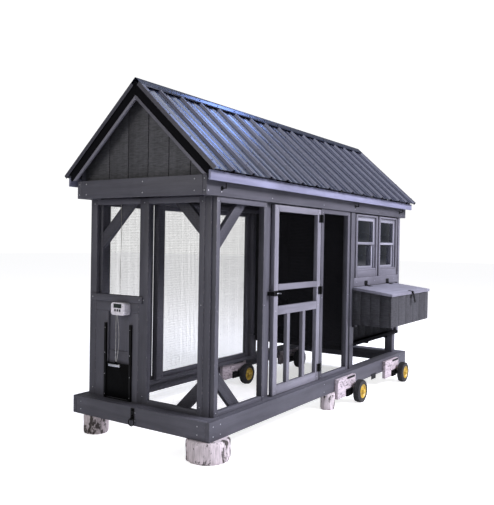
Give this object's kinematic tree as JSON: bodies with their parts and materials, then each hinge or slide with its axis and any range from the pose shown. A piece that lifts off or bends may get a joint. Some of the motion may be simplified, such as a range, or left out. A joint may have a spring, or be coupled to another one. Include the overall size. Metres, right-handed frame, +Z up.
{
  "type": "chicken coop",
  "caption": "Gabled mobile chicken coop with a screened run, raised henhouse, lidded nest box, sliding pop door, walk-in door and wheels on one skid base.",
  "frame": {"origin": "on the ground under the middle of the bounding box", "axes": "+X along the coop from the pop-door gable to the henhouse end, +Y from the window and nest-box side across to the far side, +Z up"},
  "size_m": [4.01, 1.8564, 2.7632],
  "materials": {
    "painted_boards": "weathered dark grey paint on sawn boards",
    "roof_metal": "glossy black coated sheet",
    "plain_wood": "sawn timber",
    "wire_mesh": "fine black coated wire mesh",
    "black_steel": "black coated steel",
    "door_sheet": "black coated sheet",
    "bare_metal": "satin",
    "white_plastic": "slightly glossy moulding",
    "display": "dark display window",
    "button_plastic": "dark keys",
    "cord": "braided",
    "lead": "thin pale lead",
    "window_glass": "clear",
    "tyre_rubber": "rubber",
    "hub_plastic": "yellow moulding",
    "pale_wood": "worn pale paint on rough timber"
  },
  "bodies": {
    "coop": {"base_frame": "painted_boards", "posts": "painted_boards", "header_boards": "painted_boards", "top_plates": "painted_boards", "gable_siding": "painted_boards", "roof_framing": "plain_wood", "roof_deck": "plain_wood", "roof_sheet_near": "roof_metal", "roof_sheet_far": "roof_metal", "ridge_cap": "roof_metal", "rake_trims": "roof_metal", "fascia_boards": "painted_boards", "screen_frames": "painted_boards", "run_mesh": "wire_mesh", "knee_braces": "painted_boards", "popdoor_wall": "painted_boards", "popdoor_rails": "black_steel", "controller_case": "white_plastic", "controller_screen": "display", "lift_cord": "cord", "sensor_lead": "lead", "house_walls": "painted_boards", "house_partition": "plain_wood", "house_floor": "plain_wood", "house_trim": "painted_boards", "window_frames": "painted_boards", "window_panes": "window_glass", "roost_bars": "plain_wood", "nest_box": "painted_boards", "nest_dividers": "plain_wood", "post_hardware": "black_steel", "wheel_plates": "pale_wood", "axles": "black_steel", "support_logs": "pale_wood", "steel_plates": "black_steel", "header_hooks": "black_steel"},
    "walk_in_door": {"door_frame": "painted_boards", "door_mesh": "wire_mesh", "door_hardware": "black_steel"},
    "door_bolt": {"door_bolt": "bare_metal"},
    "nest_lid": {"nest_lid": "painted_boards", "lid_leaves": "black_steel"},
    "hasp": {"hasp_strap": "black_steel"},
    "sash_left": {"sash_left": "painted_boards"},
    "sash_right": {"sash_right": "painted_boards"},
    "pop_door": {"popdoor_panel": "door_sheet", "popdoor_bar": "bare_metal"},
    "button_up": {"button_up": "button_plastic"},
    "button_set": {"button_set": "button_plastic"},
    "button_down": {"button_down": "button_plastic"},
    "tow_ring": {"tow_ring": "black_steel"},
    "wheel_near_mid": {"tyre_near_mid": "tyre_rubber", "hub_near_mid": "hub_plastic"},
    "wheel_near_end": {"tyre_near_end": "tyre_rubber", "hub_near_end": "hub_plastic"},
    "wheel_far_mid": {"tyre_far_mid": "tyre_rubber", "hub_far_mid": "hub_plastic"},
    "wheel_far_end": {"tyre_far_end": "tyre_rubber", "hub_far_end": "hub_plastic"}
  },
  "joints": [
    {"name": "door_hinge", "type": "hinge", "parent": "coop", "child": "walk_in_door", "pos_m": [-0.1995, -0.47345, 1.085], "axis": [0, 0, 1], "range_deg": [0, 110]},
    {"name": "door_bolt_slide", "type": "slide", "parent": "walk_in_door", "child": "door_bolt", "axis": [-1, 0, 0], "range_m": [0, 0.034]},
    {"name": "nest_lid_hinge", "type": "hinge", "parent": "coop", "child": "nest_lid", "pos_m": [1.0745, -0.47445, 1.128], "axis": [-1, 0, 0], "range_deg": [0, 85]},
    {"name": "hasp_pivot", "type": "hinge", "parent": "nest_lid", "child": "hasp", "pos_m": [1.0745, -0.90345, 1.067], "axis": [-1, 0, 0], "range_deg": [-10, 90]},
    {"name": "sash_left_slide", "type": "slide", "parent": "coop", "child": "sash_left", "axis": [0, 0, 1], "range_m": [0, 0.21]},
    {"name": "sash_right_slide", "type": "slide", "parent": "coop", "child": "sash_right", "axis": [0, 0, 1], "range_m": [0, 0.21]},
    {"name": "pop_door_slide", "type": "slide", "parent": "coop", "child": "pop_door", "axis": [0, 0, 1], "range_m": [0, 0.28], "deforming": ["lift_cord"]},
    {"name": "press_up", "type": "slide", "parent": "coop", "child": "button_up", "axis": [1, 0, 0], "range_m": [0, 0.0015], "stiffness_N_per_m": 300},
    {"name": "press_set", "type": "slide", "parent": "coop", "child": "button_set", "axis": [1, 0, 0], "range_m": [0, 0.0015], "stiffness_N_per_m": 300},
    {"name": "press_down", "type": "slide", "parent": "coop", "child": "button_down", "axis": [1, 0, 0], "range_m": [0, 0.0015], "stiffness_N_per_m": 300},
    {"name": "wheel_near_mid_spin", "type": "hinge", "parent": "coop", "child": "wheel_near_mid", "pos_m": [0.3895, -0.62545, 0.112], "axis": [0, 1, 0], "continuous": true},
    {"name": "wheel_near_end_spin", "type": "hinge", "parent": "coop", "child": "wheel_near_end", "pos_m": [1.5825, -0.62545, 0.112], "axis": [0, 1, 0], "continuous": true},
    {"name": "wheel_far_mid_spin", "type": "hinge", "parent": "coop", "child": "wheel_far_mid", "pos_m": [0.3895, 0.71755, 0.112], "axis": [0, 1, 0], "continuous": true},
    {"name": "wheel_far_end_spin", "type": "hinge", "parent": "coop", "child": "wheel_far_end", "pos_m": [1.5825, 0.71755, 0.112], "axis": [0, 1, 0], "continuous": true},
    {"name": "tow_ring_swing", "type": "hinge", "parent": "coop", "child": "tow_ring", "pos_m": [-1.9595, 0.20155, 0.211], "axis": [0, 1, 0], "range_deg": [-5, 150]}
  ]
}
